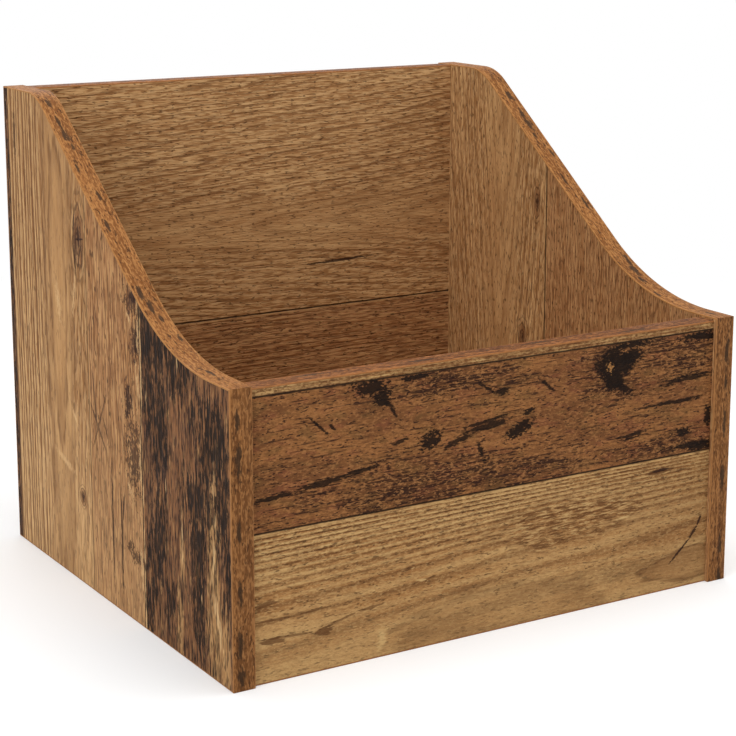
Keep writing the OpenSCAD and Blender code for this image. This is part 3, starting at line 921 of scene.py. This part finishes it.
def edge_bands():
    """Builds the twelve edge bands again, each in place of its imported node."""
    side_bands("left", 301, 0, LEFT_UPRIGHT_SPOTS)
    side_bands("right", 341, 23, RIGHT_UPRIGHT_SPOTS)
    level = band_decor("level_band_decor", (MAHOGANY_DEEP, MAHOGANY, MAHOGANY_PALE),
                       back_low.y + HALF_BOARD, LEVEL_BAND_SPOTS, 381, axes="YXZ")
    for panel in ("front", "back"):
        for place, outward in (("top", "+z"), ("bottom", "-z")):
            straight_band(f"{panel}_panel_{place}_band", f"{panel}_panel_{place}_edge_band",
                          outward, level)
    runners = band_decor("runner_band_decor", (CHESTNUT_DEEP, CHESTNUT, CHESTNUT_PALE),
                         OUTER_X - HALF_BOARD, RUNNER_BAND_SPOTS, 391, axes="XYZ")
    for side in ("left", "right"):
        straight_band(f"{side}_bottom_band", f"{side}_side_bottom_edge_band", "-z", runners)


# ---- Fittings ----

def moulded_plastic():
    """Cover caps: brown plastic with a fine moulded grain."""
    g = Graph("cap_plastic", "XYZ")
    made = two_toned(g, (6, 6, 401), 0.35, 0.65, CAP_BROWN, CAP_BROWN_PALE)
    made.coat(g.step(g.noise(0.35, 0.35, 403, 2, 0.6), 0.55, 0.70), AMBER_DEEP, 0.35, 0.5)
    return finish_material(g, made, rough=0.42 + g.noise(3, 3, 405) * 0.16, relief=0.06)


def cast_zinc():
    """Cam locks: die-cast zinc, slightly pitted, in duller and brighter patches."""
    g = Graph("cast_zinc", "XYZ")
    made = two_toned(g, (2.4, 2.4, 411), 0.35, 0.65, ZINC, ZINC_PALE)
    made.coat(g.step(g.noise(0.5, 0.5, 413, 3, 0.6), 0.60, 0.72), ZINC_PIT, 0.6, 0.8)
    rough = 0.34 + g.noise(1.2, 1.2, 415, 3) * 0.25
    return finish_material(g, made, rough, relief=0.05, metallic=1.0)


def plated_steel():
    """Cam bolts: yellow-passivated steel with turned marks."""
    g = Graph("plated_steel", "XYZ")
    made = two_toned(g, (1.8, 1.8, 421), 0.38, 0.62, STEEL, STEEL_PALE)
    made.coat(g.step(g.noise(0.3, 4, 423, 2), 0.56, 0.70), STEEL_MARK, 0.5, 0.5)
    rough = 0.30 + g.noise(1.0, 3, 425, 2) * 0.2
    return finish_material(g, made, rough, relief=0.04, metallic=1.0)


def fluted_beech():
    """Dowels: pale beech with short darker rays along them."""
    g = Graph("fluted_beech", "YXZ")
    made = two_toned(g, (2, 16, 431), 0.35, 0.65, BEECH, BEECH_PALE)
    made.coat(g.step(g.noise(0.4, 3, 433, 2), 0.60, 0.72), BEECH_RAY, 0.6, 0.4)
    return finish_material(g, made, rough=0.62 + g.noise(1.5, 9, 435) * 0.12, relief=0.15)


def dress(names, material):
    """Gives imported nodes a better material."""
    for name in names:
        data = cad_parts[name].data
        if data.materials:
            for i in range(len(data.materials)):
                data.materials[i] = material
        else:
            data.materials.append(material)


def dress_boards():
    """Gives the five panels their decors. Each grain's axes are across, along and through it."""
    side = "YZX"
    dress(["left_side_panel"], two_faced(
        "left_side_decor", side, side_outer_left, lambda g: side_inner(g, 501, 96),
        -OUTER_X, -INNER_X, 511))
    dress(["right_side_panel"], two_faced(
        "right_side_decor", side, lambda g: side_inner(g, 541, 80), side_outer_right,
        INNER_X, OUTER_X, 551))
    level = "ZXY"
    dress(["front_panel"], two_faced(
        "front_panel_decor", level, front_outer, lambda g: straw_board(g, 571, 190),
        front_low.y, front_high.y, 581))
    dress(["back_panel"], two_faced(
        "back_panel_decor", level, lambda g: light_level_boards(g, 601, 148),
        lambda g: level_boards(g, 621, 104, 214), back_low.y, back_high.y, 651))
    dress(["bottom_panel"], two_faced(
        "bottom_panel_decor", "YXZ", lambda g: cathedral_board(g, 701, 10, FINER),
        lambda g: cathedral_board(g, 721, -30, FINER), floor_low.z, floor_high.z, 731))


def dress_fittings():
    """Gives the caps, locks, bolts and dowels their materials."""
    for ending, material in (("_cover_caps", moulded_plastic), ("_cam_locks", cast_zinc),
                             ("_cam_bolts", plated_steel), ("_dowels", fluted_beech)):
        dress([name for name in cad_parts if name.endswith(ending)], material())


# ---- Studio, in metres ----

WHITE = (1, 1, 1, 1)
WORLD_LIGHT = 0.50
WORLD_SEEN = 1.0         # a background of this strength shows as white

FLOOR_HALF = 4.0
FLOOR_PALE = (0.75, 0.75, 0.75, 1)
FLOOR_LIFT = 0.22        # makes the floor near the stand look white outside its shadow
FADE_START = 0.45        # how far from the middle the floor starts to turn plain white
FADE_END = 1.10          # and where it is plain white

LAMP_SIZE = 1.6
LAMP_AIM = (0, 0, 0.15)
LAMPS = (                # name, place and power in watts
    ("key", (-2.2, -0.9, 1.5), 29.5),
    ("fill", (2.2, -1.0, 1.5), 15.5),
    ("top", (0.0, -0.3, 2.5), 30),
    ("rear", (0.6, 2.2, 1.8), 18),
)

CAMERA_PLACE = (-0.684, -1.134, 0.464)
CAMERA_DOWN = 11.68      # degrees below level
CAMERA_TURN = -31.33     # degrees from looking straight at the front
CAMERA_LENS = 95.5       # millimetres, like the sensor
CAMERA_SENSOR = 36
CAMERA_SHIFT = -0.10


def background_rays(tree):
    """1 for the rays that show the background: the camera's, and those in metal and glass."""
    path = tree.nodes.new("ShaderNodeLightPath")
    shown = path.outputs["Is Camera Ray"]
    for name in ("Is Glossy Ray", "Is Transmission Ray"):
        either = tree.nodes.new("ShaderNodeMath")
        either.operation = "MAXIMUM"
        tree.links.new(shown, either.inputs[0])
        tree.links.new(path.outputs[name], either.inputs[1])
        shown = either.outputs[0]
    return shown


def plain_background(tree, strength):
    """A white background shader of this strength."""
    made = tree.nodes.new("ShaderNodeBackground")
    made.inputs["Color"].default_value = WHITE
    made.inputs["Strength"].default_value = strength
    return made


def white_world():
    """Even white light, and a white background for the camera."""
    world = bpy.data.worlds.new("studio")
    bpy.context.scene.world = world
    world.use_nodes = True
    tree = world.node_tree
    tree.nodes.clear()
    new = tree.nodes.new
    plain = plain_background(tree, WORLD_LIGHT)
    seen = plain_background(tree, WORLD_SEEN)
    mix = new("ShaderNodeMixShader")
    tree.links.new(background_rays(tree), mix.inputs[0])
    tree.links.new(plain.outputs[0], mix.inputs[1])
    tree.links.new(seen.outputs[0], mix.inputs[2])
    output = new("ShaderNodeOutputWorld")
    tree.links.new(mix.outputs[0], output.inputs["Surface"])


def pale_floor():
    """A wide pale floor with a soft shadow. It shows white further off."""
    half = FLOOR_HALF
    mesh = bpy.data.meshes.new("studio_floor")
    mesh.from_pydata([(-half, -half, 0), (half, -half, 0), (half, half, 0), (-half, half, 0)], [],
                     [(0, 1, 2, 3)])
    floor = new_object("studio_floor", mesh)
    material = bpy.data.materials.new("floor_white")
    material.use_nodes = True
    tree = material.node_tree
    tree.nodes.clear()
    new = tree.nodes.new
    place = new("ShaderNodeTexCoord")
    away = new("ShaderNodeVectorMath")
    away.operation = "LENGTH"
    fade = new("ShaderNodeMapRange")
    fade.inputs["From Min"].default_value = FADE_START
    fade.inputs["From Max"].default_value = FADE_END
    plain = new("ShaderNodeBsdfDiffuse")
    plain.inputs["Color"].default_value = FLOOR_PALE
    lift = new("ShaderNodeEmission")
    lift.inputs["Strength"].default_value = FLOOR_LIFT
    white = new("ShaderNodeEmission")
    near = new("ShaderNodeAddShader")
    seen, mix = new("ShaderNodeMixShader"), new("ShaderNodeMixShader")
    output = new("ShaderNodeOutputMaterial")
    for source, target in (
        (place.outputs["Object"], away.inputs[0]),
        (away.outputs["Value"], fade.inputs["Value"]),
        (plain.outputs[0], near.inputs[0]),
        (lift.outputs[0], near.inputs[1]),
        (fade.outputs[0], seen.inputs[0]),
        (near.outputs[0], seen.inputs[1]),
        (white.outputs[0], seen.inputs[2]),
        (background_rays(tree), mix.inputs[0]),
        (plain.outputs[0], mix.inputs[1]),
        (seen.outputs[0], mix.inputs[2]),
        (mix.outputs[0], output.inputs["Surface"]),
    ):
        tree.links.new(source, target)
    mesh.materials.append(material)


def soft_lamp(name, at, power):
    """A square lamp that faces the middle of the stand."""
    data = bpy.data.lights.new(name, "AREA")
    data.energy, data.size = power, LAMP_SIZE
    lamp = new_object(name, data)
    lamp.location = at
    lamp.rotation_euler = (Vector(LAMP_AIM) - Vector(at)).to_track_quat("-Z", "Y").to_euler()


def camera():
    """The photograph's view: from the left of the front, a little above."""
    data = bpy.data.cameras.new("camera")
    data.sensor_width = CAMERA_SENSOR
    data.lens = CAMERA_LENS
    data.shift_y = CAMERA_SHIFT
    seen = new_object("camera", data)
    seen.location = CAMERA_PLACE
    seen.rotation_euler = (math.radians(90 - CAMERA_DOWN), 0, math.radians(CAMERA_TURN))
    bpy.context.scene.camera = seen


bpy.context.scene.view_settings.view_transform = "Standard"
camera()
white_world()
pale_floor()
for lamp_name, place, power in LAMPS:
    soft_lamp(lamp_name, place, power)
edge_bands()
dress_boards()
dress_fittings()
